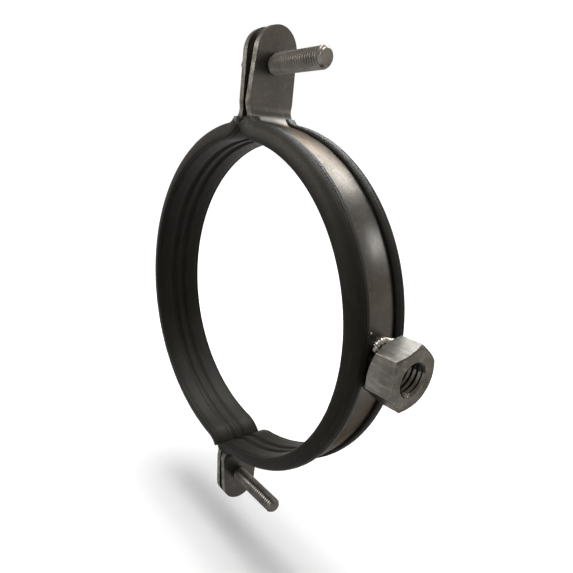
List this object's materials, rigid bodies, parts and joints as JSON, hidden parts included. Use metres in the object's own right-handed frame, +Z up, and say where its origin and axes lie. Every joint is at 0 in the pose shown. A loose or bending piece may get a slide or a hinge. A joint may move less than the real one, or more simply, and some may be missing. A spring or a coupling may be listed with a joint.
{
  "type": "split ring hanger",
  "caption": "Two-piece steel pipe clamp with ribbed rubber linings, a welded hexagon boss for a threaded rod and clamping screws through bent lugs.",
  "frame": {"origin": "middle of the ring, on the pipe's axis and midway across the lining", "axes": "+X out through the hexagon boss, +Y along the pipe, +Z up through the upper lugs"},
  "size_m": [0.1312, 0.021, 0.173],
  "materials": {
    "strip_steel": "dull zinc-plated strip with brown-grey tone",
    "lining_rubber": "matt black moulded rubber",
    "boss_steel": "turned and plated steel, satin",
    "weld_steel": "rippled weld metal",
    "screw_steel": "zinc-plated, satin"
  },
  "bodies": {
    "boss_half": {"boss_strap": "strip_steel", "boss_lining": "lining_rubber", "hex_boss": "boss_steel", "weld_beads": "weld_steel"},
    "plain_half": {"plain_strap": "strip_steel", "plain_lining": "lining_rubber", "upper_washer": "screw_steel", "lower_washer": "screw_steel"},
    "upper_clamp_screw": {"upper_screw": "screw_steel"},
    "lower_clamp_screw": {"lower_screw": "screw_steel"}
  },
  "joints": [
    {"name": "clamp_opening", "type": "slide", "parent": "boss_half", "child": "plain_half", "axis": [-1, 0, 0], "range_m": [0, 0.02]},
    {"name": "upper_screw_turn", "type": "hinge", "parent": "plain_half", "child": "upper_clamp_screw", "pos_m": [0, 0, 0.0763], "axis": [-1, 0, 0], "range_deg": [0, 7200]},
    {"name": "lower_screw_turn", "type": "hinge", "parent": "plain_half", "child": "lower_clamp_screw", "pos_m": [0, 0, -0.075], "axis": [-1, 0, 0], "range_deg": [0, 7200]}
  ],
  "couplings": [
    {"joint": "upper_screw_turn", "follows": "clamp_opening", "rad_per_m": 6283.2},
    {"joint": "lower_screw_turn", "follows": "clamp_opening", "rad_per_m": 6283.2}
  ]
}
